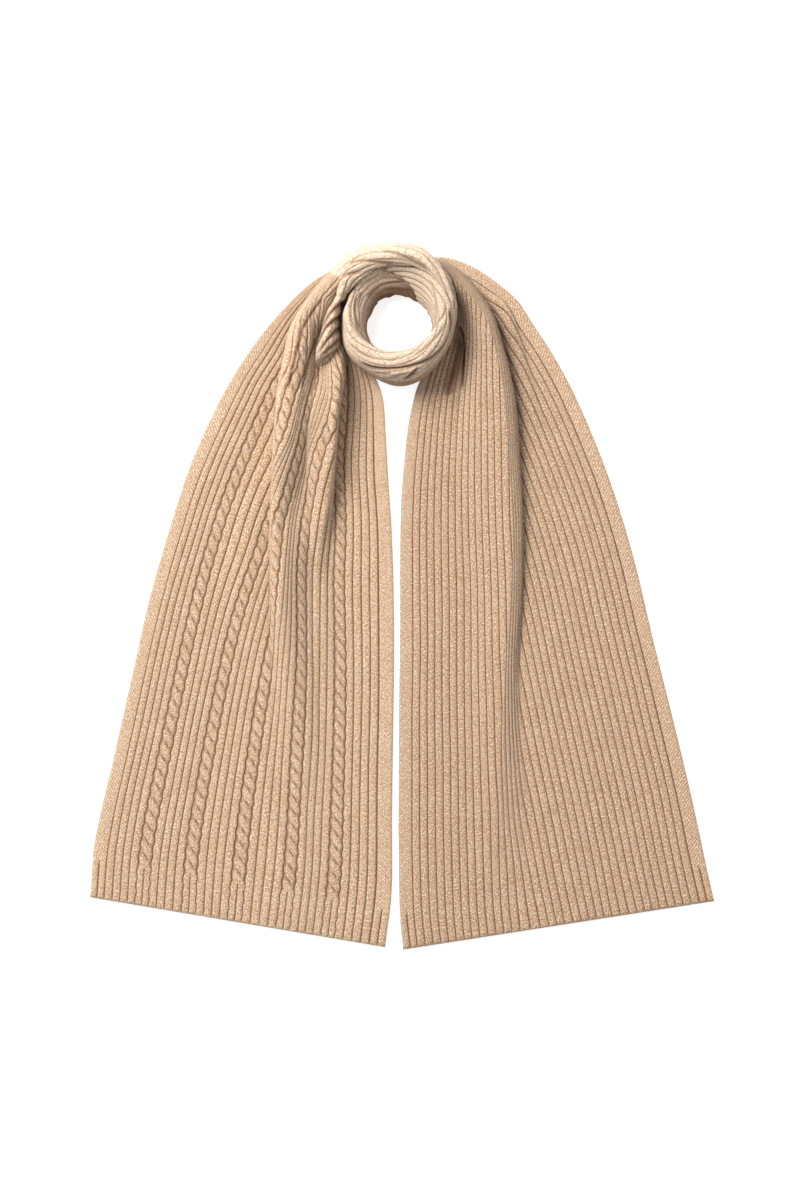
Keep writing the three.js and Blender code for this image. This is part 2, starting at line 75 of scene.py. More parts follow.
# Left tail: a row for each section across the cloth, measured along the tail from its hem
SECTION_COLUMNS = ("along", "outer_x", "outer_y", "inner_x", "inner_y")
LEFT_SECTIONS = (
    (0, -312, -301, -17, -351),
    (56, -307, -244, -10.5, -296),
    (136, -289, -164, -10, -218),
    (216, -271, -84, -9, -140),
    (296, -253, -4, -8, -62),
    (367, -233, 66, -8.5, 7),
    (429, -213.5, 126, -10.5, 67),
    (482, -192, 176, -14, 119),
    (528, -170, 218, -16.5, 164),
    (566, -148.5, 251, -20, 201),
    (600, -127, 278, -34, 233),
    (628, -107, 299, -51, 261),
    (650, -90, 314, -53, 283),
    (668, -74, 324, -49, 300),
    (690, -56, 335, -42, 311),
)
RIGHT_SECTIONS = (
    (0, 312, -305, 1, -353.5),
    (32, 305, -274, -2, -322),
    (100, 290, -204, -3.5, -257),
    (179, 271, -124, -3.5, -182),
    (258, 251, -44, -3, -106),
    (336, 232, 36, -2, -31),
    (406, 211, 106, -2, 35),
    (468, 188, 166, -1, 94),
    (515, 167.5, 211, 2.5, 139),
    (553, 148, 246, 7, 176),
    (585, 129.5, 274, 14, 205),
    (610, 115, 296, 22.5, 225),
    (636, 94, 314, 34, 248),
    (661, 73, 328, 43, 271),
    (686, 48, 338, 47, 294),
    (704, 27, 339, 38, 300),
)

# Folds: the fold's middle across the section, its half width and height, and how far its crest
# leans (minus is towards the outer edge)
FOLD_COLUMNS = ("along", "middle", "half", "height", "lean")
LEFT_FOLD_OUTER = (
    (136, 190, 26, 0.5, 0),
    (216, 169, 24, 6, -2),
    (296, 146, 21, 15, -8),
    (367, 125, 19, 22, -13),
    (429, 105, 17, 27, -13),
    (482, 85, 16, 31, -12),
    (528, 65, 15, 33, -11),
    (566, 49, 15, 35, -9),
    (600, 36, 17, 38, -8),
    (628, 30, 18, 42, -7),
    (650, 25, 18, 47, -5),
    (668, 19, 16, 51, -4),
    (690, 15, 14, 52, -2),
)
LEFT_FOLD_MIDDLE = (
    (429, 116, 14, 2, 0),
    (482, 98, 14, 16, 0),
    (528, 80, 14, 22, 0),
    (566, 62, 13, 20, 0),
    (600, 50, 14, 17, 0),
    (628, 43, 12, 12, 0),
    (650, 37, 10, 6, 0),
)
LEFT_FOLD_INNER = (
    (216, 176, 30, 0.5, 0),
    (296, 168, 28, 3, 0),
    (367, 145, 22, 9, 2),
    (429, 132, 17, 19, 7),
    (482, 115, 15, 30, 11),
    (528, 97, 14, 34, 11),
    (566, 82, 14, 34, 9),
    (600, 66, 13, 20, 4),
    (628, 50, 12, 12, 0),
)
RIGHT_FOLD = (
    (100, 196, 28, 0.5, 0),
    (179, 180, 28, 4, -3),
    (258, 163, 26, 8, -10),
    (336, 145, 28, 12, -17),
    (406, 127, 31, 15, -21),
    (468, 110, 34, 18, -23),
    (515, 91, 32, 23, -22),
    (553, 74, 27, 28, -19),
    (585, 59, 22, 32, -15),
    (610, 50, 20, 35, -12),
    (636, 39, 18, 36, -9),
    (661, 31, 17, 35, -6),
    (686, 23, 16, 28, -3),
    (704, 21, 16, 21, -2),
)
RIGHT_FOLD_SMALL = (
    (468, 60, 16, 0.5, 0),
    (515, 46, 13, 4, -1),
    (553, 36, 11, 7, -2),
    (585, 26, 10, 8, -2),
    (610, 20, 9, 7, -2),
    (636, 14, 8, 4, 0),
)
FOLD_FADE = 40.0
FOLD_POWER = 1.3

# Width that the right tail's ribs are drawn at. The cloth left over is gathered on the steep
# side of its fold, below the overhang.
GATHER_COLUMNS = ("along", "scale")
RIGHT_GATHER = ((0, 1), (100, 0.99), (179, 0.975), (258, 0.955), (336, 0.945), (515, 0.93), (704, 0.9))
GATHER_MARGIN = 0.9

# How far each of the five cables slides towards the outer edge as the cloth is drawn together
SLIDE_COLUMNS = ("along", "first", "second", "third", "fourth", "fifth")
LEFT_SLIDE = (
    (0, 3, 3, 3, 1, 3),
    (100, 4, 5, 4, 1, 3),
    (260, 2, 2, 2, 6, 6),
    (320, 2, -1, 0, 9, 8),
    (382, 1, -7, 0, 13, 9),
    (436, 1, -8, 0, 14, 6),
    (480, 1, -13, 0, 14, 5),
    (515, 0, -14, 0, 9, 4),
    (552, 0, -12, 0, 5, 2),
    (580, 0, -12, 0, 5, 0),
    (600, 0, -15, 0, 3, 0),
    (628, 0, -18, 0, 0, 0),
    (690, 0, -18, 0, 0, 0),
)

# The wound stretches, a row for each angle round the ring in degrees: three radii, and the
# heights of the crest, of the underside and of the inner edge
WRAP_COLUMNS = ("angle", "outer", "crest", "inner", "top", "foot", "lip")
FRONT_ROWS = (
    (152, 54, 49, 24, 44, 8, 12),
    (165, 55, 50.5, 26, 46, 8, 12),
    (180, 58, 51, 28, 48, 8, 12),
    (195, 60, 51, 33, 50, 8, 12),
    (210, 64, 50, 37, 52, 8, 12),
    (225, 66, 46.5, 39, 53, 7, 12),
    (240, 66.5, 45, 38, 54, 5, 12),
    (255, 69, 43, 36, 55, 0, 10),
    (270, 71, 41, 35, 56, 0, 10),
    (285, 69, 40, 34, 57, 0, 10),
    (300, 64, 39.5, 34, 58, 6, 12),
    (315, 60, 39, 34, 60, 8, 12),
    (330, 58, 39, 33.5, 61, 8, 12),
    (345, 56.5, 40, 32, 62, 9, 14),
    (360, 57, 41, 28, 62, 12, 20),
    (375, 57, 41.5, 24, 61, 18, 26),
    (390, 54, 42, 21, 58, 26, 30),
    (405, 54, 43, 22, 55, 31, 34),
    (420, 54, 44, 26, 52, 34, 37),
    (440, 54, 46, 32, 50, 36, 39),
    (457, 54, 48, 39, 49, 37, 41),
    (468, 54, 50, 44, 47, 38, 42),
)
OVER_ROWS = (
    (6, 57.5, 53, 48, 52, 32, 44),
    (20, 58.5, 53, 47, 60, 31, 50),
    (30, 60, 54, 46, 64, 30, 53),
    (45, 62, 55, 47, 66, 28, 55),
    (60, 66, 57, 47, 67, 18, 54),
    (75, 70.5, 59, 47, 67, 3, 53),
    (90, 71, 59, 47, 66, 0, 52),
    (105, 73, 60, 48, 64, 0, 51),
    (120, 77, 63, 49, 62, 0, 50),
    (135, 80, 65, 50, 60, 0, 49),
    (147, 81, 66, 52, 57, 0, 47),
    (157, 73, 63, 54, 55, 6, 44),
    (167, 68, 62, 56, 53, 8, 36),
    (178, 75, 66, 58.5, 51, 8, 28),
    (189, 83, 71, 60.5, 49, 8, 24),
    (200, 90, 76, 62.5, 46, 8, 22),
    (208, 97, 81, 65, 43, 8, 20),
    (214, 98, 83, 69, 38, 8, 18),
)
UNDER_ROWS = (
    (28, 57, 44, 22, 24, 0, 8),
    (45, 60, 46, 18, 26, 0, 8),
    (60, 58, 47, 17, 31, 0, 8),
    (75, 57, 48, 16, 36, 0, 8),
    (90, 57, 48, 17, 40, 0, 8),
    (105, 57, 48, 18, 42, 0, 8),
    (120, 57, 49, 19, 43, 0, 8),
    (135, 57, 49, 22, 43, 0, 9),
    (151.5, 54, 49, 24, 44, 0, 12),
)
FOOT_INSET = 5.0
FOOT_SHARE = 0.25

# The grooves that show on the ring from above: depth, half width, and the path in X and Y. Each is pressed into the
# cloth and also painted darker, as painted shade.
OVER_GROOVES = (
    (2.6, 3.0, ((-38, 325), (-47, 321.5), (-55, 319), (-62, 315), (-67, 311), (-72, 306), (-77, 299))),
    (2.4, 3.0, ((-56, 327), (-49, 331), (-42, 332.5), (-34, 333), (-24, 332.5), (-14, 331.5), (-4, 330.5))),
    (2.4, 3.6, ((-25, 341), (-16, 341.5), (-8, 340.5), (-2, 339), (6, 336), (14, 332), (22, 328), (29, 321))),
    (1.2, 2.5, ((-28, 346.5), (-19, 348.5), (-11, 349), (0, 347), (12, 343), (22, 338))),
    (1.2, 2.2, ((-59, 338), (-52, 342), (-44, 346))),
    (2.0, 2.6, ((21, 337), (29, 330), (35, 323), (39, 316), (43, 308), (46, 300), (48, 291), (50, 282))),
    (2.4, 2.4, ((35, 332), (41, 323), (45, 314), (48, 306), (50.5, 299), (52.5, 292))),
    (1.6, 2.4, ((-55, 311.5), (-61, 307), (-64, 303), (-64.5, 299), (-61, 297.5), (-57, 300), (-53, 306))),
    (1.8, 2.4, ((-65, 296), (-69, 291), (-72, 287), (-75, 284))),
    (3.8, 2.6, ((-55, 297), (-61, 292), (-67, 286), (-72, 280), (-76, 274), (-81, 264), (-83, 254))),
    (3.6, 2.6, ((-61, 281), (-69, 274), (-76, 266), (-81, 257), (-84, 247))),
    (3.6, 2.6, ((-62, 270), (-68, 263), (-74, 255), (-80, 246), (-84, 239))),
    (3.4, 2.6, ((-62, 259), (-67, 252), (-74, 245), (-82, 237))),
    (3.0, 2.4, ((-61, 250), (-68, 243), (-77, 237), (-85, 231))),
)
FRONT_GROOVES = (
    (2.0, 2.4, ((-49, 274), (-45, 264), (-39, 256), (-30, 249), (-22, 245.5), (-14, 243.5), (-6, 243), (3, 244), (13, 248), (22, 254), (28, 260), (33, 268), (36, 279), (35.5, 289), (33.5, 299), (31, 310), (26, 318))),
    (2.2, 2.6, ((-52, 253), (-45, 246), (-39, 241), (-32, 238), (-24, 236.5))),
    (2.2, 2.4, ((-18, 233.5), (-10, 234), (-4, 236), (2, 238))),
    (2.0, 2.4, ((8, 236.5), (16, 241), (23, 246), (29, 252), (34, 257), (39, 264), (42, 271))),
    (3.6, 2.6, ((-40, 234), (-31, 229), (-22, 227), (-12, 226.5), (-2, 227), (8, 229), (18, 232), (28, 237), (35, 243), (39, 247), (43, 253), (46.5, 261), (48, 270), (47, 279), (45, 287))),
    (1.6, 2.2, ((-30, 225), (-22, 223.5), (-14, 223), (-6, 223.5))),
    (1.8, 2.4, ((-18, 217), (-10, 218.5), (-2, 220.5), (6, 224))),
    (4.0, 2.4, ((-4, 214), (3, 217), (9, 221), (14, 226), (18, 230))),
    (4.0, 2.4, ((10, 214.5), (17, 219), (22, 224), (26, 229), (30, 234.5))),
    (2.6, 2.4, ((26, 221), (34, 229), (40, 237), (45, 246), (50, 256), (52, 266))),
    (2.4, 2.2, ((42, 293), (43.5, 285), (41, 278), (37, 272), (32, 265), (26, 258))),
    (2.2, 2.0, ((-45, 302), (-47.5, 293), (-48, 284), (-47, 276), (-44, 268), (-39, 261))),
    (1.4, 2.0, ((-51, 299), (-52.5, 290), (-52.5, 280), (-51, 270), (-48, 260))),
    (1.0, 2.0, ((-56.5, 280), (-56, 266), (-52, 253))),
    (1.6, 2.6, ((-45, 280), (-44, 292), (-40, 303), (-34, 311.5), (-27, 317))),
)
UNDER_GROOVES = (
    (2.0, 2.4, ((-27, 317), (-17, 319), (-7, 318), (3, 315), (11, 311))),
    (2.6, 2.4, ((-41, 284), (-36, 296), (-29, 305), (-22, 310.5), (-12, 313), (-2, 314), (8, 314))),
    (2.4, 2.4, ((-36, 288), (-30, 298), (-22, 305), (-12, 308), (-2, 307), (8, 306), (16, 305))),
    (2.4, 2.4, ((-32, 293), (-24, 299.5), (-14, 302.5), (-2, 300.5), (10, 298), (21, 297))),
    (2.6, 2.6, ((-24, 325), (-14, 325), (-4, 323.5), (6, 321), (14, 317))),
)
LEFT_GROOVES = (
    (2.2, 2.6, ((-77, 299), (-86, 287), (-93, 276), (-99, 265), (-102, 253), (-106, 240), (-114, 203))),
    (1.8, 2.6, ((-85, 262), (-93, 240), (-98, 220), (-101, 203))),
)
RIGHT_GROOVES = (
    (2.4, 3.0, ((57, 274), (62, 261), (63, 246), (62, 226), (61, 205))),
    # A broad, shallow crease, pressed in a little and painted darker as the painted shade of the hollow beside the
    # ring
    (1.7, 11.0, ((58, 264), (57, 248), (53, 230), (48, 212), (45, 196))),
)
GROOVE_REACH = 1.7
GROOVE_FADE = 9.0

# Share of a wound stretch's profile over which the ribs of its outer wall give way to the
# grooves that show from above
WALL_RIBS_END = 0.36
WALL_RIBS_START = 0.26
CREST_RELIEF = 1.7
CREST_RIB = 6.0
CREST_RIB_SHARPNESS = 2.5
CREST_RIB_DEPTH = 1.5
# CREST_RIB_SHADE, the WALL_SHADE heights, CREASE_DARK and the HOLLOW numbers set painted shade: along the crest rib
# lines, low on the outer wall, in the creases and low in the inner hollow.
CREST_RIB_SHADE = 0.75
CREST_SOFTNESS = 0.6
WALL_SHADE_TOP = 54.0
WALL_SHADE_BOTTOM = 22.0
CREASE_DARK = 3.2
HOLLOW_SHADE = 0.9
HOLLOW_START = 0.6
HOLLOW_END = 0.75
HOLLOW_TOP = 38.0
HOLLOW_BOTTOM = 12.0
KNEE_ROUND = 11.0


def column(keys, values):
    """A smooth run of one column of a table, flat beyond its ends."""
    last = len(keys) - 1
    high = np.minimum(np.arange(last + 1) + 1, last)
    low = np.maximum(np.arange(last + 1) - 1, 0)
    slopes = (values[high] - values[low]) / (keys[high] - keys[low])

    def at(place):
        place = np.clip(np.asarray(place, float), keys[0], keys[-1])
        i = np.clip(np.searchsorted(keys, place, side="right") - 1, 0, last - 1)
        step = keys[i + 1] - keys[i]
        t = (place - keys[i]) / step
        rise = t * t * (3 - 2 * t)
        bend = step * t * (1 - t) * (slopes[i] * (1 - t) - slopes[i + 1] * t)
        return values[i] + (values[i + 1] - values[i]) * rise + bend

    return at


def smooth_table(names, rows):
    """Every column of a table as a function of its first one."""
    numbers = np.array(rows, float)
    return {name: column(numbers[:, 0], numbers[:, i]) for i, name in enumerate(names) if i}


def smoothstep(value, low, high):
    t = np.clip((value - low) / (high - low), 0, 1)
    return t * t * (3 - 2 * t)


def smooth_noise(u, v, cell_u, cell_v, seed):
    """Soft unevenness from -1 to 1 over a grid of cells."""
    random = np.random.default_rng(seed)
    grid = random.uniform(-1, 1, (96, 96))
    x = u / cell_u
    y = v / cell_v
    i = np.floor(x).astype(int)
    j = np.floor(y).astype(int)
    s = smoothstep(x - i, 0, 1)
    t = smoothstep(y - j, 0, 1)
    near = grid[i % 96, j % 96] * (1 - s) + grid[(i + 1) % 96, j % 96] * s
    far = grid[i % 96, (j + 1) % 96] * (1 - s) + grid[(i + 1) % 96, (j + 1) % 96] * s
    return near * (1 - t) + far * t


# The knitted bands across the cloth


def front_bands():
    ribs = ["rib"] * 4
    return ["selvedge", *ribs, *(["cable", *ribs] * 5), "selvedge"]


def back_bands():
    return ["selvedge", *(["rib"] * 35), "selvedge"]


WIDTHS = {"rib": RIB_WIDTH, "cable": CABLE_WIDTH, "selvedge": SELVEDGE_WIDTH, "crest": RIB_WIDTH}
PLACES = {"rib": RIB_COLUMNS, "cable": CABLE_COLUMNS, "selvedge": SELVEDGE_COLUMNS, "crest": CREST_COLUMNS}


def band_columns(layout):
    """For each column of points: its place across in mm, its band, and its place in the band."""
    across = []
    kinds = []
    shares = []
    start = 0.0
    for kind in layout:
        for share in PLACES[kind]:
            across.append(start + share * WIDTHS[kind])
            kinds.append(kind)
            shares.append(share)
        start += WIDTHS[kind]
    across.append(start)
    kinds.append(layout[-1])
    shares.append(1.0)
    return np.array(across), np.array(kinds), np.array(shares), start


def rib_shape(share, sharpness=4.2):
    """A rounded rib with narrow grooves beside it, from 0 to 1."""
    return 1 - np.abs(2 * share - 1) ** sharpness


def rope_shape(share, along):
    """The height of a rope of two strands that pass over each other, and the painted shade on the
    line between them."""
    across = (share - 0.5) * CABLE_WIDTH
    heights = []
    for strand in (0, 1):
        phase = -2 * math.pi * along / CABLE_TURN + math.pi * strand
        offset = (across - CABLE_SWING * np.sin(phase)) / CABLE_STRAND
        bulge = np.sqrt(np.clip(1 - offset**2, 0, 1))
        heights.append(CABLE_HEIGHT * bulge + CABLE_LIFT * (np.cos(phase) - 1) / 2)
    core = CABLE_CORE * rib_shape(share, CABLE_CORE_SHARPNESS)
    # Where the strands meet, the line is pressed in a little and also painted darker, as painted shade.
    meeting = np.exp(-(((heights[0] - heights[1]) / STRAND_EDGE) ** 2))
    height = np.maximum(np.maximum(heights[0], heights[1]), core)
    line = meeting * smoothstep(height, core, core + 0.3)
    return height - STRAND_GROOVE * line, line


def relief(kinds, shares, across, along, hem):
    """The height of the knitting at each point, and how much painted shade it gets in its grooves, from 0 to 1."""
    uneven = 1 + 0.16 * smooth_noise(across, along, RIB_WIDTH, 17.0, 3)
    rib = rib_shape(shares)
    selvedge = rib_shape(shares, SELVEDGE_SHARPNESS)
    rope, line = rope_shape(shares, along)
    which = [kinds == "rib", kinds == "cable"]
    plain = np.select(which, [RIB_RELIEF * rib, rope], SELVEDGE_RELIEF * selvedge)
    # Painted shade: darker in the grooves beside the ribs and the selvedge's stitches, and low round a cable's
    # strands and on the line where they meet. It fades out near the cloth's edges, within EDGE_PALE.
    ends = smoothstep(np.minimum(across, across.max() - across), 0, EDGE_PALE)
    rope_dark = np.clip(1 - rope / CABLE_HEIGHT, 0, 1) + STRAND_SHADE * line
    dark = np.select(which, [1 - rib, rope_dark], (1 - selvedge) * ends)
    if not hem:
        return plain * uneven, dark
    pair = np.where(kinds == "rib", rib, rib_shape((shares * 2) % 1.0))
    blend = smoothstep(along, HEM_BAND - HEM_BLEND, HEM_BAND + HEM_BLEND)
    edge = np.sqrt(np.clip(along / HEM_ROUND, 0, 1))
    height = RIB_RELIEF * pair * (1 - blend) + plain * blend
    # The hem's ribs get painted shade in their grooves too, fading at the hem's edge.
    dark = (1 - pair) * ends * (1 - blend) + dark * blend
    return height * uneven * edge, dark * edge


# Grooves and creases that are placed from straight above


def groove_depth(x, y, grooves):
    """How deep the grooves press into the cloth at each point. Each fades out at its ends."""
    deepest = np.zeros(x.shape)
    for depth, half, path in grooves:
        path = np.array(path, float)
        lengths = np.append(0, np.cumsum(np.linalg.norm(np.diff(path, axis=0), axis=1)))
        nearest = np.full(x.shape, np.inf)
        fade = np.zeros(x.shape)
        for a, b, start, end in zip(path[:-1], path[1:], lengths[:-1], lengths[1:]):
            run = b - a
            t = np.clip(((x - a[0]) * run[0] + (y - a[1]) * run[1]) / (run @ run), 0, 1)
            distance = np.hypot(x - a[0] - t * run[0], y - a[1] - t * run[1])
            place = start + t * (end - start)
            ends = smoothstep(np.minimum(place, lengths[-1] - place), -2, GROOVE_FADE)
            fade = np.where(distance < nearest, ends, fade)
            nearest = np.minimum(nearest, distance)
        slope = np.clip(1 - nearest / (GROOVE_REACH * half), 0, 1) ** 2
        deepest = np.maximum(deepest, depth * slope * fade)
    return deepest


# Sections of the tails and of the ring


def measured(x, z, shares):
    """Places and outward normals at shares of the length of each row of a curve."""
    steps = np.hypot(np.diff(x, axis=1), np.diff(z, axis=1))
    lengths = np.concatenate([np.zeros((len(x), 1)), np.cumsum(steps, axis=1)], axis=1)
    total = lengths[:, -1:]

    def at(share):
        goal = np.clip(share, 0, 1) * total
        picked_x = np.array([np.interp(g, s, v) for g, s, v in zip(goal, lengths, x)])
        picked_z = np.array([np.interp(g, s, v) for g, s, v in zip(goal, lengths, z)])
        return picked_x, picked_z

    place_x, place_z = at(shares)
    reach = NORMAL_REACH / total
    before_x, before_z = at(shares - reach)
    after_x, after_z = at(shares + reach)
    run_x = after_x - before_x
    run_z = after_z - before_z
    size = np.maximum(np.hypot(run_x, run_z), 1e-6)
    return place_x, place_z, -run_z / size, run_x / size


def fold_table(rows):
    fold = smooth_table(FOLD_COLUMNS, rows)
    fold["start"] = rows[0][0]
    return fold


def tail_curves(tail, along):
    """The outer ends and directions of a tail's sections, and their curves with the folds."""
    table = tail["sections"]
    outer = np.stack([table["outer_x"](along), table["outer_y"](along)], axis=1)
    inner = np.stack([table["inner_x"](along), table["inner_y"](along)], axis=1)
    width = np.linalg.norm(inner - outer, axis=1)[:, None]
    flat = width * np.linspace(0, 1, SECTION_SAMPLES + 1)[None, :]
    x = flat.copy()
    z = np.zeros(flat.shape)
    for fold in tail["folds"]:
        offset = (flat - fold["middle"](along)[:, None]) / fold["half"](along)[:, None]
        swell = np.where(np.abs(offset) < 1, np.cos(np.pi / 2 * np.clip(offset, -1, 1)) ** FOLD_POWER, 0)
        fade = smoothstep(along, fold["start"] - FOLD_FADE, fold["start"])
        x += fold["lean"](along)[:, None] * swell
        z += (fold["height"](along) * fade)[:, None] * swell
    return outer, (inner - outer) / width, flat, x, z


def tail_surface(tail, along, shares):
    """Points of a tail's middle surface and its normals, for rows along and shares across."""
    outer, across, _, x, z = tail_curves(tail, along)
    place_x, place_z, normal_x, normal_z = measured(x, z, shares)
    points = np.stack(
        [
            outer[:, :1] + across[:, :1] * place_x,
            outer[:, 1:] + across[:, 1:] * place_x,
            place_z,
        ],
        axis=2,
    )
    normals = np.stack([across[:, :1] * normal_x, across[:, 1:] * normal_x, normal_z], axis=2)
    return points, normals


def gathered(tail, across, along):
    """How far the ribs of a tail move across it where spare cloth is gathered below its fold."""
    _, _, flat, x, z = tail_curves(tail, along)
    steps = np.hypot(np.diff(x, axis=1), np.diff(z, axis=1))
    lengths = np.concatenate([np.zeros((len(x), 1)), np.cumsum(steps, axis=1)], axis=1)
    scales = smooth_table(GATHER_COLUMNS, RIGHT_GATHER)["scale"](along)
    fold = tail["folds"][0]
    width = across[-1]
    moves = []
    for i, place in enumerate(along):
        middle = fold["middle"](place)
        base = middle - GATHER_MARGIN * fold["half"](place)
        low, high = np.interp([base, middle], flat[i], lengths[i])
        total = lengths[i, -1]
        first = low / scales[i]
        last = max(width - (total - high) / scales[i], first + 1)
        shown = np.interp(across, [0, first, last, width], [0, low, high, total])
        moves.append(across - shown * width / total)
    return np.array(moves)


def spline(points, count):
    """A smooth curve through points, sampled evenly between them."""
    points = np.asarray(points)
    t = np.linspace(0, 1, count + 1) * (len(points) - 1)
    i = np.minimum(np.floor(t).astype(int), len(points) - 2)
    w = (t - i)[:, None]
    before = points[np.maximum(i - 1, 0)]
    a = points[i]
    b = points[i + 1]
    after = points[np.minimum(i + 2, len(points) - 1)]
    slope_a = (b - before) * 0.5
    slope_b = (after - a) * 0.5
    cube = (2 * a - 2 * b + slope_a + slope_b) * w**3
    square = (-3 * a + 3 * b - 2 * slope_a - slope_b) * w**2
    return cube + square + slope_a * w + a


def wrap_profile(row):
    """The rounded section of a wound stretch, from its outer foot over the crest to its lip."""
    rise = row["top"] - row["foot"]
    outer = row["outer"] - RIB_RELIEF - WALL / 2
    top = row["top"] - RIB_RELIEF - WALL / 2
    inner = row["inner"] + RIB_RELIEF + WALL / 2
    slump = row["crest"] + 0.62 * (outer - row["crest"])
    lean = inner + 0.45 * (row["crest"] - inner)
    inset = min(FOOT_INSET, FOOT_SHARE * (outer - inner))
    return [
        (outer - inset, row["foot"] + WALL / 2),
        (outer - 0.8, row["foot"] + 0.16 * rise),
        (outer, row["foot"] + 0.42 * rise),
        (slump, row["foot"] + 0.86 * rise),
        (row["crest"], top),
        (lean, row["lip"] + 0.62 * (top - row["lip"])),
        (inner, max(row["lip"], row["foot"] + 4)),
    ]


def wrap_surface(wrap, along, shares):
    """Points of a wound stretch's middle surface and its normals. along is in mm round it."""
    degrees = wrap["first"] + np.degrees(along / RING_MEAN_RADIUS)
    curves = []
    for angle in degrees:
        row = {name: float(at(angle)) for name, at in wrap["table"].items()}
        curves.append(spline(wrap_profile(row), SECTION_SAMPLES))
    curves = np.array(curves)
    radius, height, normal_r, normal_z = measured(curves[:, :, 0], curves[:, :, 1], shares)
    turn = np.radians(degrees)[:, None]
    if wrap["knee"]:
        left = np.clip((wrap["length"] - along) / KNEE_ROUND, 0, 1)[:, None]
        foot = curves[:, :1, 1]
        height = foot + (height - foot) * np.sqrt(1 - (1 - left) ** 2)
    points = np.stack(
        [RING_X + radius * np.cos(turn), RING_Y + radius * np.sin(turn), height], axis=2
    )
    normals = np.stack([-normal_r * np.cos(turn), -normal_r * np.sin(turn), -normal_z], axis=2)
    return points, normals


# Meshes


def zip_strip(a, b):
    """Triangles between two runs of numbered points, each a list of (number, place)."""
    faces = []
    i = 0
    j = 0
    while i < len(a) - 1 or j < len(b) - 1:
        if j == len(b) - 1 or (i < len(a) - 1 and a[i + 1][1] <= b[j + 1][1]):
            faces.append((a[i][0], b[j][0], a[i + 1][0]))
            i += 1
        else:
            faces.append((a[i][0], b[j][0], b[j + 1][0]))
            j += 1
    return faces


def grid_faces(rows, columns, start, flip):
    numbers = start + np.arange(rows * columns).reshape(rows, columns)
    a = numbers[:-1, :-1].ravel()
    b = numbers[:-1, 1:].ravel()
    c = numbers[1:, 1:].ravel()
    d = numbers[1:, :-1].ravel()
    quads = np.stack([a, d, c, b] if flip else [a, b, c, d], axis=1)
    return numbers, quads


def rim(numbers, places, pick):
    """The numbered points of one edge of a grid, with their places along it."""
    return list(zip(pick(numbers).tolist(), places.tolist()))


def add_cloth(name, face, lining, material, flip):
    """A closed piece of cloth between its knitted face and a plainer lining."""
    rows, columns = face["points"].shape[:2]
    lining_rows, lining_columns = lining["points"].shape[:2]
    top, top_quads = grid_faces(rows, columns, 0, flip)
    base, base_quads = grid_faces(lining_rows, lining_columns, rows * columns, not flip)
    along, across = face["along"], face["across"]
    low_along, low_across = lining["along"], lining["across"]
    edges = [
        (lambda n: n[:, 0], along, low_along, True),
        (lambda n: n[:, -1], along, low_along, False),
        (lambda n: n[0, :], across, low_across, False),
        (lambda n: n[-1, :], across, low_across, True),
    ]
    strips = []
    for pick, high, low, turned in edges:
        strip = zip_strip(rim(top, high, pick), rim(base, low, pick))
        strips += strip if turned == flip else [t[::-1] for t in strip]
    points = np.concatenate([face["points"].reshape(-1, 3), lining["points"].reshape(-1, 3)])
    faces = top_quads.tolist() + base_quads.tolist() + strips
    mesh = bpy.data.meshes.new(name)
    mesh.from_pydata((points * MM).tolist(), [], faces)
    mesh.polygons.foreach_set("use_smooth", np.ones(len(mesh.polygons), bool))
    add_cloth_maps(mesh, face, lining)
    mesh.materials.append(material)
    mesh.update()
    piece = bpy.data.objects.new(name, mesh)
    bpy.context.collection.objects.link(piece)
    return piece


def add_cloth_maps(mesh, face, lining):
    """The cloth's own coordinates in mm, how much painted shade each point gets in the grooves and hollows, and the
    selvedges.
    """
    corners = np.empty(len(mesh.loops), int)
    mesh.loops.foreach_get("vertex_index", corners)
    maps = []
    for side in (face, lining):
        across, along = np.meshgrid(side["across"], side["along"])
        maps.append(np.stack([across.ravel(), along.ravel()], axis=1))
    layer = mesh.uv_layers.new(name="cloth")
    layer.uv.foreach_set("vector", np.concatenate(maps)[corners].ravel())
    for name in ("groove", "selvedge"):
        values = np.concatenate([face[name].ravel(), lining[name].ravel()])
        attribute = mesh.attributes.new(name, "FLOAT", "POINT")
        attribute.data.foreach_set("value", values)


def tail_relief(stretch, kinds, shares, across, along, points):
    """Knitting that runs straight along a tail."""
    height, dark = relief(kinds[None, :], shares[None, :], across[None, :], along[:, None], True)
    crease = groove_depth(points[:, :, 0], points[:, :, 1], stretch["grooves"])
    # The creases are pressed in and also painted darker, as painted shade.
    return height - crease, np.clip(np.maximum(dark, crease / 2), 0, 1)


def past_crest(points):
    """How far across a wound stretch each point lies from its crest, in mm."""
    steps = np.linalg.norm(np.diff(points, axis=1), axis=2)
    distance = np.concatenate([np.zeros((len(points), 1)), np.cumsum(steps, axis=1)], axis=1)
    height = points[:, :, 2]
    weight = np.exp((height - height.max(axis=1, keepdims=True)) / CREST_SOFTNESS)
    crest = (weight * distance).sum(axis=1, keepdims=True) / weight.sum(axis=1, keepdims=True)
    return distance - crest


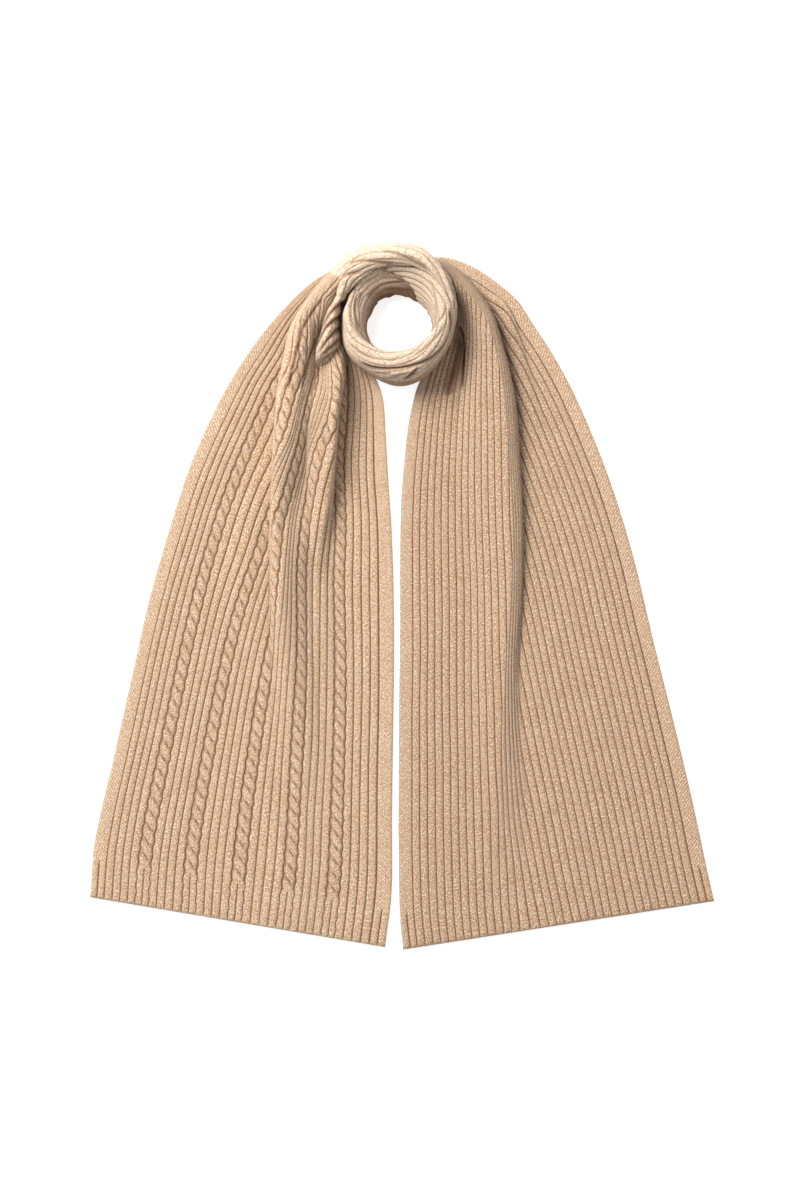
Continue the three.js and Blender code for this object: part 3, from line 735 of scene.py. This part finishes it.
def wrap_relief(stretch, kinds, shares, across, along, points):
    """Ribs round the outer wall of a wound stretch, and the placed grooves on its top."""
    height, dark = relief(kinds[None, :], shares[None, :], across[None, :], along[:, None], False)
    share = across[None, :] / across[-1]
    wall = smoothstep(share, WALL_RIBS_END, WALL_RIBS_START)
    crease = groove_depth(points[:, :, 0], points[:, :, 1], stretch["grooves"])
    drift = (past_crest(points) + stretch["drift"] * along[:, None]) / CREST_RIB
    between = 1 - rib_shape(drift % 1.0, CREST_RIB_SHARPNESS)
    crest = CREST_RELIEF - np.maximum(crease, CREST_RIB_DEPTH * between)
    height = height * wall + crest * (1 - wall)
    # Painted shade in the creases and along the lines between the crest ribs.
    lines = np.maximum(crease / CREASE_DARK, CREST_RIB_SHADE * between)
    # Painted shade low on the inner wall, in the ring's hollow.
    low = smoothstep(points[:, :, 2], HOLLOW_TOP, HOLLOW_BOTTOM)
    hollow = HOLLOW_SHADE * low * smoothstep(share, HOLLOW_START, HOLLOW_END)
    # Painted shade low on the outer wall, for the stretches given a wall_shade.
    foot = stretch["wall_shade"] * wall * smoothstep(points[:, :, 2], WALL_SHADE_TOP, WALL_SHADE_BOTTOM)
    lines = np.maximum(dark * wall + lines * (1 - wall), foot)
    return height, np.clip(np.maximum(lines, hollow), 0, 1)


def knit_cloth(name, stretch, surface, raise_knitting, material):
    """One stretch of the scarf, with its knitting raised in the mesh."""
    across, kinds, shares, width = band_columns(stretch["layout"])
    rows = int(round(stretch["length"] / stretch["step"])) + 1
    along = np.linspace(0, stretch["length"], rows)
    wobble = cable_wobble(across, kinds, along, width)
    placed = (across[None, :] + wobble - stretch["slide"](stretch, across, along)) / width
    points, normals = surface(stretch, along, placed)
    height, groove = raise_knitting(stretch, kinds, shares, across, along, points)
    raised = points + normals * (WALL / 2 + height)[:, :, None]
    raised[:, :, 2] = np.maximum(raised[:, :, 2] + stretch["lift"], 0)
    edge = np.tile(np.where(kinds == "selvedge", 1.0, 0.0), (rows, 1))
    face = {"points": raised, "along": along, "across": across, "groove": groove, "selvedge": edge}
    return add_cloth(name, face, lining_of(stretch, surface, across, along, width), material, stretch["flip"])


def lining_of(stretch, surface, across, along, width):
    """The plainer inside of a stretch of cloth."""
    across = np.append(across[:-1:LINING_STEP], across[-1])
    along = np.append(along[:-1:LINING_STEP], along[-1])
    shares = np.tile(across / width, (len(along), 1))
    points, normals = surface(stretch, along, shares)
    under = points - normals * stretch["inside"]
    under[:, :, 2] = np.maximum(under[:, :, 2] + stretch["lift"], 0)
    # The lining is painted a little darker all over, as painted shade.
    painted_shade_share = np.full(under.shape[:2], 0.4)
    return {"points": under, "along": along, "across": across, "groove": painted_shade_share, "selvedge": 0 * painted_shade_share}


def fold_slide(rows):
    """A slide of the knitting across the cloth, as a function of its places across and along."""
    table = smooth_table(SLIDE_COLUMNS, rows)
    pitch = 4 * RIB_WIDTH + CABLE_WIDTH
    first = SELVEDGE_WIDTH + 4 * RIB_WIDTH + CABLE_WIDTH / 2
    cables = [first + i * pitch for i in range(5)]

    def slide(tail, across, along):
        shifts = np.stack([table[name](along) for name in SLIDE_COLUMNS[1:]], axis=1)
        places = [0, *np.ravel([(cable - CABLE_HOLD, cable + CABLE_HOLD) for cable in cables]), across[-1]]
        return np.array([np.interp(across, places, [0, *np.repeat(row, 2), 0]) for row in shifts])

    return slide


def no_slide(stretch, across, along):
    return np.zeros((len(along), len(across)))


def cable_wobble(across, kinds, along, width):
    """The grooves beside a cable sway with its crossings, and every rib wanders a little."""
    sway = np.zeros((len(along), len(across)))
    edges = np.flatnonzero(kinds[1:] != kinds[:-1]) + 1
    for edge in edges:
        if "cable" not in (kinds[edge], kinds[edge - 1]):
            continue
        near = np.exp(-(((across - across[edge]) / 4.0) ** 2))
        side = 1 if kinds[edge] == "cable" else -1
        swing = np.cos(4 * math.pi * along / CABLE_TURN + side * 0.7)
        sway += 0.55 * side * swing[:, None] * near[None, :]
    wander = smooth_noise(across[None, :], along[:, None], 26.0, 60.0, 11)
    inside = np.clip(np.minimum(across, width - across) / 10.0, 0, 1)
    return (sway + 0.7 * wander) * inside[None, :]


# Materials


def node(tree, kind, place, **settings):
    made = tree.nodes.new(kind)
    made.location = place
    for name, value in settings.items():
        setattr(made, name, value)
    return made


def math_node(tree, operation, first, second=None, place=(0, 0)):
    made = node(tree, "ShaderNodeMath", place, operation=operation)
    for socket, value in zip(made.inputs, (first, second)):
        if value is None:
            continue
        if isinstance(value, (int, float)):
            socket.default_value = value
        else:
            tree.links.new(value, socket)
    return made.outputs[0]


def mix_colour(tree, share, first, second, place=(0, 0), blend="MIX"):
    made = node(tree, "ShaderNodeMix", place, data_type="RGBA", blend_type=blend)
    for socket, value in ((made.inputs[0], share), (made.inputs[6], first), (made.inputs[7], second)):
        if isinstance(value, (int, float)):
            socket.default_value = value
        elif isinstance(value, tuple):
            socket.default_value = (*value, 1)
        else:
            tree.links.new(value, socket)
    return made.outputs[2]


def ramp(tree, value, stops, place=(0, 0)):
    """A grey ramp through (place, level) stops."""
    made = node(tree, "ShaderNodeValToRGB", place)
    elements = made.color_ramp.elements
    while len(elements) < len(stops):
        elements.new(0.5)
    for element, (position, level) in zip(elements, stops):
        element.position = position
        element.color = (level, level, level, 1)
    tree.links.new(value, made.inputs[0])
    return made.outputs[0]


def noise(tree, vector, scale, detail, place=(0, 0), stretch=(1, 1, 1), shift=0.0):
    """Noise over the cloth's own coordinates in mm."""
    moved = node(tree, "ShaderNodeMapping", (place[0] - 200, place[1]))
    moved.inputs["Scale"].default_value = stretch
    moved.inputs["Location"].default_value = (shift, shift, 0)
    tree.links.new(vector, moved.inputs["Vector"])
    made = node(tree, "ShaderNodeTexNoise", place)
    made.inputs["Scale"].default_value = scale
    made.inputs["Detail"].default_value = detail
    tree.links.new(moved.outputs[0], made.inputs["Vector"])
    return made.outputs["Fac"]


WALE = RIB_WIDTH / 3
COURSE = 2.0
SELVEDGE_WALE = 3.7
SELVEDGE_COURSE = 3.5
# How much stronger the painted shade between stitches is on the selvedges
SELVEDGE_STITCH_SHADE = 0.5
SELVEDGE_TONE = 0.28
SELVEDGE_FLATTER = 0.6


def blend_values(tree, share, first, second, place=(0, 0)):
    made = node(tree, "ShaderNodeMix", place, data_type="FLOAT")
    for socket, value in zip((made.inputs[0], made.inputs[2], made.inputs[3]), (share, first, second)):
        tree.links.new(value, socket)
    return made.outputs[0]


def stitches(tree, uv):
    """The small V of each stitch: two slanting legs to a wale, one V to a course."""
    split = node(tree, "ShaderNodeSeparateXYZ", (-1300, -300))
    tree.links.new(uv, split.inputs[0])
    wale = math_node(tree, "DIVIDE", split.outputs[0], WALE, (-1100, -300))
    inside = math_node(tree, "FRACT", wale, None, (-950, -300))
    offset = math_node(tree, "SUBTRACT", inside, 0.5, (-800, -300))
    side = math_node(tree, "ABSOLUTE", offset, None, (-650, -300))
    course = math_node(tree, "DIVIDE", split.outputs[1], COURSE, (-1100, -500))
    slant = math_node(tree, "MULTIPLY", side, 1.5, (-500, -420))
    phase = math_node(tree, "SUBTRACT", course, slant, (-350, -500))
    turn = math_node(tree, "MULTIPLY", phase, 2 * math.pi, (-200, -500))
    wave = math_node(tree, "SINE", turn, None, (-50, -500))
    leg = math_node(tree, "MULTIPLY", side, 2 * math.pi, (-500, -300))
    loop = math_node(tree, "SINE", leg, None, (-350, -300))
    raised = math_node(tree, "MULTIPLY", wave, 0.7, (100, -500))
    body = math_node(tree, "ADD", loop, raised, (100, -300))
    return math_node(tree, "MULTIPLY", body, 0.5, (250, -300))


def selvedge_stitches(tree, uv):
    """The fine slanting stitches of a selvedge."""
    split = node(tree, "ShaderNodeSeparateXYZ", (-1300, -1200))
    tree.links.new(uv, split.inputs[0])
    across = math_node(tree, "MULTIPLY", split.outputs[0], 2 * math.pi / SELVEDGE_WALE, (-1100, -1200))
    along = math_node(tree, "MULTIPLY", split.outputs[1], 2 * math.pi / SELVEDGE_COURSE, (-1100, -1350))
    sum_of = math_node(tree, "ADD", across, along, (-900, -1200))
    wave = math_node(tree, "SINE", sum_of, None, (-750, -1200))
    return math_node(tree, "MULTIPLY", math_node(tree, "ADD", wave, 1.0), 0.5, (-600, -1200))


def knit_material(name, light, mid, dark_fleck_and_shade, groove_shade_colour):
    material = bpy.data.materials.new(name)
    material.use_nodes = True
    tree = material.node_tree
    shader = tree.nodes["Principled BSDF"]
    coords = node(tree, "ShaderNodeUVMap", (-1700, 0), uv_map="cloth")
    uv = coords.outputs[0]
    groove = node(tree, "ShaderNodeAttribute", (-1700, -700), attribute_name="groove").outputs["Fac"]

    tone = ramp(tree, noise(tree, uv, 0.05, 3, (-1300, 600)), ((0.36, 0.0), (0.64, 1.0)), (-1100, 600))
    colour = mix_colour(tree, tone, mid, light, (-800, 600))
    grain = ramp(tree, noise(tree, uv, 0.75, 1, (-1300, 700), GRAIN, 3.0), ((0.42, 0.8), (0.53, 0.0)), (-1100, 750))
    colour = mix_colour(tree, grain, colour, dark_fleck_and_shade, (-700, 700))
    pale = ramp(tree, noise(tree, uv, 0.8, 1, (-1300, 300), GRAIN, 7.0), ((0.5, 0.0), (0.6, 0.95)), (-1100, 300))
    colour = mix_colour(tree, pale, colour, PALE_FLECK, (-550, 400))
    warm = ramp(tree, noise(tree, uv, 0.45, 2, (-1300, 100), GRAIN, 31.0), ((0.54, 0.0), (0.68, 0.65)), (-1100, 100))
    colour = mix_colour(tree, warm, colour, WARM_FLECK, (-400, 400))
    grey = ramp(tree, noise(tree, uv, 0.5, 2, (-1300, -100), GRAIN, 53.0), ((0.55, 0.0), (0.68, 0.6)), (-1100, -100))
    colour = mix_colour(tree, grey, colour, GREY_FLECK, (-250, 400))
    edge = node(tree, "ShaderNodeAttribute", (-1700, -1000), attribute_name="selvedge").outputs["Fac"]
    stitch = blend_values(tree, edge, stitches(tree, uv), selvedge_stitches(tree, uv), (350, -500))
    # Painted shade in the low places between stitches, stronger on the selvedges.
    between = ramp(tree, stitch, ((0.0, 0.5), (0.45, 0.0)), (400, -300))
    stitch_shade_strength = math_node(tree, "MULTIPLY_ADD", edge, SELVEDGE_STITCH_SHADE, (400, -150))
    stitch_shade_strength.node.inputs[2].default_value = 1.0
    between = math_node(tree, "MULTIPLY", between, stitch_shade_strength, (500, -200))
    colour = mix_colour(tree, between, colour, dark_fleck_and_shade, (550, 300))
    plainer = math_node(tree, "MULTIPLY", edge, SELVEDGE_TONE, (400, 100))
    colour = mix_colour(tree, plainer, colour, SELVEDGE_SHADE, (620, 300))
    # Painted shade in the grooves, creases and hollows, as much as each point's painted shade attribute gives.
    painted_shade_share = ramp(tree, groove, ((0.3, 0.0), (0.6, 0.5), (0.95, 1.0)), (-1100, -700))
    colour = mix_colour(tree, painted_shade_share, colour, groove_shade_colour, (700, 300))
    tree.links.new(colour, shader.inputs["Base Color"])

    fuzz = noise(tree, uv, 2.2, 3, (-100, -900))
    flatter = math_node(tree, "MULTIPLY_ADD", edge, -SELVEDGE_FLATTER, (350, -800))
    flatter.node.inputs[2].default_value = 1.0
    pressed = math_node(tree, "MULTIPLY", stitch, flatter, (450, -800))
    height = math_node(tree, "ADD", pressed, math_node(tree, "MULTIPLY", fuzz, 0.7, (100, -900)), (500, -700))
    bump = node(tree, "ShaderNodeBump", (900, -500))
    bump.inputs["Strength"].default_value = 0.9
    bump.inputs["Distance"].default_value = 1.0 * MM
    tree.links.new(height, bump.inputs["Height"])
    tree.links.new(bump.outputs[0], shader.inputs["Normal"])
    shader.inputs["Roughness"].default_value = 0.95
    shader.inputs["Specular IOR Level"].default_value = 0.15
    shader.inputs["Sheen Weight"].default_value = 0.5
    shader.inputs["Sheen Roughness"].default_value = 0.45
    shader.inputs["Sheen Tint"].default_value = (*PALE_FLECK, 1)
    return material


def srgb(red, green, blue):
    """A colour given in 0 to 255, as linear light."""
    levels = np.array([red, green, blue]) / 255
    linear = np.where(levels <= 0.04045, levels / 12.92, ((levels + 0.055) / 1.055) ** 2.4)
    return tuple(float(level) for level in linear)


GRAIN = (1.0, 0.7, 1.0)
PALE_FLECK = srgb(252, 236, 214)
WARM_FLECK = srgb(214, 152, 98)
GREY_FLECK = srgb(150, 134, 122)
# Dark flecks of fibre and the painted shade between stitches share this colour; the ring's is lighter, as painted
# light.
DARK_FLECK_AND_SHADE = srgb(176, 132, 96)
RING_DARK_FLECK_AND_SHADE = srgb(214, 176, 140)
SELVEDGE_SHADE = srgb(150, 136, 118)
# Painted shade for the grooves, creases and hollows; the ring's is lighter, as painted light on the raised ring.
GROOVE_SHADE = srgb(108, 54, 20)
RING_GROOVE_SHADE = srgb(128, 78, 42)
FLOOR = (0.45, 0.45, 0.45)
FLOOR_GLOW = 0.75


def floor_material():
    """A plain pale floor that glows a little, as a lit studio table does."""
    material = bpy.data.materials.new("pale_floor")
    material.use_nodes = True
    shader = material.node_tree.nodes["Principled BSDF"]
    shader.inputs["Base Color"].default_value = (*FLOOR, 1)
    shader.inputs["Roughness"].default_value = 0.9
    shader.inputs["Emission Color"].default_value = (1, 1, 1, 1)
    shader.inputs["Emission Strength"].default_value = FLOOR_GLOW
    return material


# The stage


CAMERA_HEIGHT = 8.0
FRAME_HEIGHT = 1.2
SENSOR_HEIGHT = 24.0
FRAME_MIDDLE = (-0.002, -0.004)


def add_camera():
    data = bpy.data.cameras.new("camera")
    data.sensor_fit = "VERTICAL"
    data.sensor_height = SENSOR_HEIGHT
    data.lens = SENSOR_HEIGHT * CAMERA_HEIGHT / FRAME_HEIGHT
    camera = bpy.data.objects.new("camera", data)
    camera.location = (*FRAME_MIDDLE, CAMERA_HEIGHT)
    bpy.context.collection.objects.link(camera)
    bpy.context.scene.camera = camera


def add_light(name, place, size, energy, colour):
    data = bpy.data.lights.new(name, "AREA")
    data.shape = "DISK"
    data.size = size
    data.energy = energy
    data.color = colour
    light = bpy.data.objects.new(name, data)
    light.location = place
    light.rotation_euler = (-Vector(place)).to_track_quat("-Z", "Y").to_euler()
    bpy.context.collection.objects.link(light)


def add_stage():
    half = 4.0
    corners = [(-half, -half, 0), (half, -half, 0), (half, half, 0), (-half, half, 0)]
    mesh = bpy.data.meshes.new("floor")
    mesh.from_pydata([(x, y, -0.0005) for x, y, _ in corners], [], [(0, 1, 2, 3)])
    mesh.materials.append(floor_material())
    floor = bpy.data.objects.new("floor", mesh)
    bpy.context.collection.objects.link(floor)
    world = bpy.data.worlds.new("studio")
    world.use_nodes = True
    background = world.node_tree.nodes["Background"]
    background.inputs["Color"].default_value = (1.0, 1.0, 1.0, 1)
    background.inputs["Strength"].default_value = 0.42
    bpy.context.scene.world = world
    add_light("key", (-1.62, 1.75, 2.5), 1.7, 182, (1.0, 0.985, 0.96))
    add_light("fill", (2.2, 0.6, 2.3), 1.6, 15, (0.97, 0.985, 1.0))
    bpy.context.scene.view_settings.view_transform = "Standard"


# The scarf's stretches


def tail(rows, folds, layout, step, grooves, slide, flip):
    return {
        "sections": smooth_table(SECTION_COLUMNS, rows),
        "folds": [fold_table(fold) for fold in folds],
        "length": float(rows[-1][0]),
        "layout": layout,
        "step": step,
        "inside": WALL / 2,
        "lift": WALL / 2,
        "grooves": grooves,
        "slide": slide,
        "flip": flip,
    }


def wrap(rows, layout, grooves, drift, wall_shade=0.0, knee=False):
    first = rows[0][0]
    last = rows[-1][0]
    return {
        "table": smooth_table(WRAP_COLUMNS, rows),
        "first": first,
        "length": math.radians(last - first) * RING_MEAN_RADIUS,
        "layout": layout,
        "step": WRAP_STEP,
        "inside": WRAP_INSIDE,
        "lift": 0.0,
        "grooves": grooves,
        "slide": no_slide,
        "drift": drift,
        "wall_shade": wall_shade,
        "knee": knee,
        "flip": True,
    }


FRONT_LAYOUT = ["rib"] * 4 + ["crest"] * 11
OVER_LAYOUT = ["rib", "rib", "cable"] + ["crest"] * 7
UNDER_LAYOUT = ["rib"] * 3 + ["crest"] * 6


def dress(piece, solid):
    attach(piece, "root")
    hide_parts(solid)


def add_scarf():
    front = knit_material("knit_front", srgb(240, 207, 171), srgb(222, 185, 148), DARK_FLECK_AND_SHADE, GROOVE_SHADE)
    # The right tail's copy of the yarn is darker, as painted shade.
    back_shaded = knit_material("knit_back_painted_shade", srgb(219, 185, 152), srgb(202, 165, 131), DARK_FLECK_AND_SHADE, GROOVE_SHADE)
    # The ring's copy of the yarn is lighter, with lighter dark flecks and groove shade, as painted light on the
    # raised ring.
    ring = knit_material("knit_ring_painted_light", srgb(255, 240, 222), srgb(248, 226, 202), RING_DARK_FLECK_AND_SHADE, RING_GROOVE_SHADE)
    left_folds = (LEFT_FOLD_OUTER, LEFT_FOLD_MIDDLE, LEFT_FOLD_INNER)
    left = tail(
        LEFT_SECTIONS, left_folds, front_bands(), TAIL_LEFT_STEP, LEFT_GROOVES, fold_slide(LEFT_SLIDE), False
    )
    right_folds = (RIGHT_FOLD, RIGHT_FOLD_SMALL)
    right = tail(RIGHT_SECTIONS, right_folds, back_bands(), TAIL_RIGHT_STEP, RIGHT_GROOVES, gathered, True)
    over = wrap(OVER_ROWS, OVER_LAYOUT, OVER_GROOVES, 0.16, knee=True)
    round_front = wrap(FRONT_ROWS, FRONT_LAYOUT, FRONT_GROOVES, -0.12, wall_shade=0.7)
    under = wrap(UNDER_ROWS, UNDER_LAYOUT, UNDER_GROOVES, 0.15)
    piece = knit_cloth("scarf_tail_left", left, tail_surface, tail_relief, front)
    dress(piece, "tail_left")
    piece = knit_cloth("scarf_tail_right", right, tail_surface, tail_relief, back_shaded)
    dress(piece, "tail_right")
    piece = knit_cloth("scarf_wrap_under", under, wrap_surface, wrap_relief, ring)
    dress(piece, "wrap_under")
    piece = knit_cloth("scarf_wrap_front", round_front, wrap_surface, wrap_relief, ring)
    dress(piece, "wrap_front")
    piece = knit_cloth("scarf_wrap_over", over, wrap_surface, wrap_relief, ring)
    dress(piece, "wrap_over")


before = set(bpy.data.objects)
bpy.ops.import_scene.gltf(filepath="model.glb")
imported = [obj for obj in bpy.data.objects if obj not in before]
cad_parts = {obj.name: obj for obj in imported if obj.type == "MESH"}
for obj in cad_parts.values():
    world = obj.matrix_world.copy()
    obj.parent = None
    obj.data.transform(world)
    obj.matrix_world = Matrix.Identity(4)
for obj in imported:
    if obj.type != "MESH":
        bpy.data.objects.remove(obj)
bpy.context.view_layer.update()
add_camera()
add_stage()
add_scarf()
